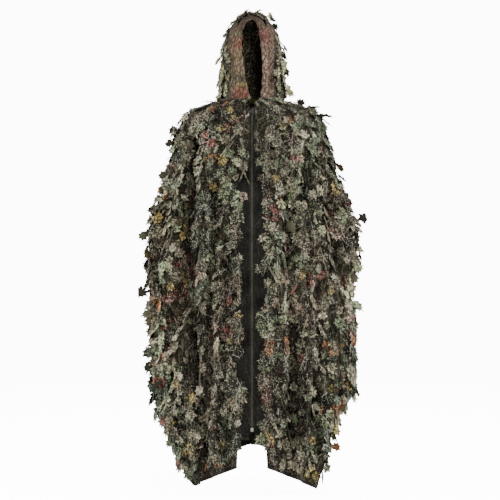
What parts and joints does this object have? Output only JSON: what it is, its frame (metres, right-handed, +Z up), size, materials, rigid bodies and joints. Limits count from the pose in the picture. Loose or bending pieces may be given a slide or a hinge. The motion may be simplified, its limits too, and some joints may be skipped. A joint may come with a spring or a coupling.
{
  "type": "ghillie suit",
  "caption": "Hooded leaf-covered camouflage poncho with a full front zip, a hood that folds back, opening fronts and hand openings.",
  "frame": {"origin": "centre of the neck seam, where the wearer's neck and shoulders hold the poncho up", "axes": "+Z up, -Y the way the face opening and the zip look, +X to the wearer's left"},
  "size_m": [0.7384, 0.4614, 1.6315],
  "materials": {
    "camo_cloth": "matte printed cloth",
    "leaf_cloth": "matte printed cloth, cut to leaves",
    "bark_cloth": "matte printed cloth",
    "dark_tape": "woven tape",
    "zip_plastic": "moulded nylon",
    "dark_metal": "dark enamelled zinc"
  },
  "bodies": {
    "cape": {"back_panel_left": "camo_cloth", "back_panel_right": "camo_cloth", "front_panel_left": "camo_cloth", "front_panel_right": "camo_cloth", "front_yoke_left": "camo_cloth", "front_yoke_right": "camo_cloth", "hand_opening_binding_left": "dark_tape", "hand_opening_binding_right": "dark_tape", "hanging_loop": "dark_tape", "hem_binding_back_left": "dark_tape", "hem_binding_back_right": "dark_tape", "hem_binding_front_left": "dark_tape", "hem_binding_front_right": "dark_tape", "hem_binding_sleeve_left": "dark_tape", "hem_binding_sleeve_right": "dark_tape", "leaf_rows_back_left": "leaf_cloth", "leaf_rows_back_right": "leaf_cloth", "leaf_rows_front_left": "leaf_cloth", "leaf_rows_front_right": "leaf_cloth", "leaf_rows_sleeve_back_left": "leaf_cloth", "leaf_rows_sleeve_back_right": "leaf_cloth", "leaf_rows_sleeve_front_left": "leaf_cloth", "leaf_rows_sleeve_front_right": "leaf_cloth", "neck_tape": "dark_tape", "sleeve_back_left": "camo_cloth", "sleeve_back_right": "camo_cloth", "sleeve_front_left": "camo_cloth", "sleeve_front_right": "camo_cloth"},
    "front_left": {"front_edge_left": "camo_cloth", "leaf_rows_edge_left": "leaf_cloth", "hem_binding_edge_left": "dark_tape", "zip_facing_left": "camo_cloth", "zip_tape_left": "dark_tape", "zip_coil_left": "zip_plastic", "zip_top_stop_left": "dark_metal", "zip_retaining_box": "zip_plastic"},
    "front_right": {"front_edge_right": "camo_cloth", "leaf_rows_edge_right": "leaf_cloth", "hem_binding_edge_right": "dark_tape", "zip_facing_right": "camo_cloth", "zip_tape_right": "dark_tape", "zip_coil_right": "zip_plastic", "zip_top_stop_right": "dark_metal", "insertion_pin": "zip_plastic"},
    "hood": {"hood_centre_panel": "camo_cloth", "hood_edge_casing": "bark_cloth", "hood_side_left": "camo_cloth", "hood_side_right": "camo_cloth", "leaf_rows_hood_centre": "leaf_cloth", "leaf_rows_hood_left": "leaf_cloth", "leaf_rows_hood_right": "leaf_cloth"},
    "zip_slider": {"slider_body": "dark_metal", "slider_bridge": "dark_metal"},
    "pull_tab": {"pull_tab": "dark_metal"}
  },
  "joints": [
    {"name": "hood_fold", "type": "hinge", "parent": "cape", "child": "hood", "pos_m": [0, 0.12, 0], "axis": [-1, 0, 0], "range_deg": [0, 100]},
    {"name": "front_left_open", "type": "hinge", "parent": "cape", "child": "front_left", "pos_m": [0.1015, -0.1152, 0], "axis": [0, 0.0799, 0.9968], "range_deg": [0, 100]},
    {"name": "front_right_open", "type": "hinge", "parent": "cape", "child": "front_right", "pos_m": [-0.1015, -0.1152, 0], "axis": [0, -0.0799, -0.9968], "range_deg": [0, 100]},
    {"name": "zip_run", "type": "slide", "parent": "front_left", "child": "zip_slider", "axis": [0, -0.0767, -0.9971], "range_m": [0, 1.064]},
    {"name": "pull_tab_swing", "type": "hinge", "parent": "zip_slider", "child": "pull_tab", "pos_m": [0, -0.12331, -0.04745], "axis": [-1, 0, 0], "range_deg": [0, 170]}
  ]
}
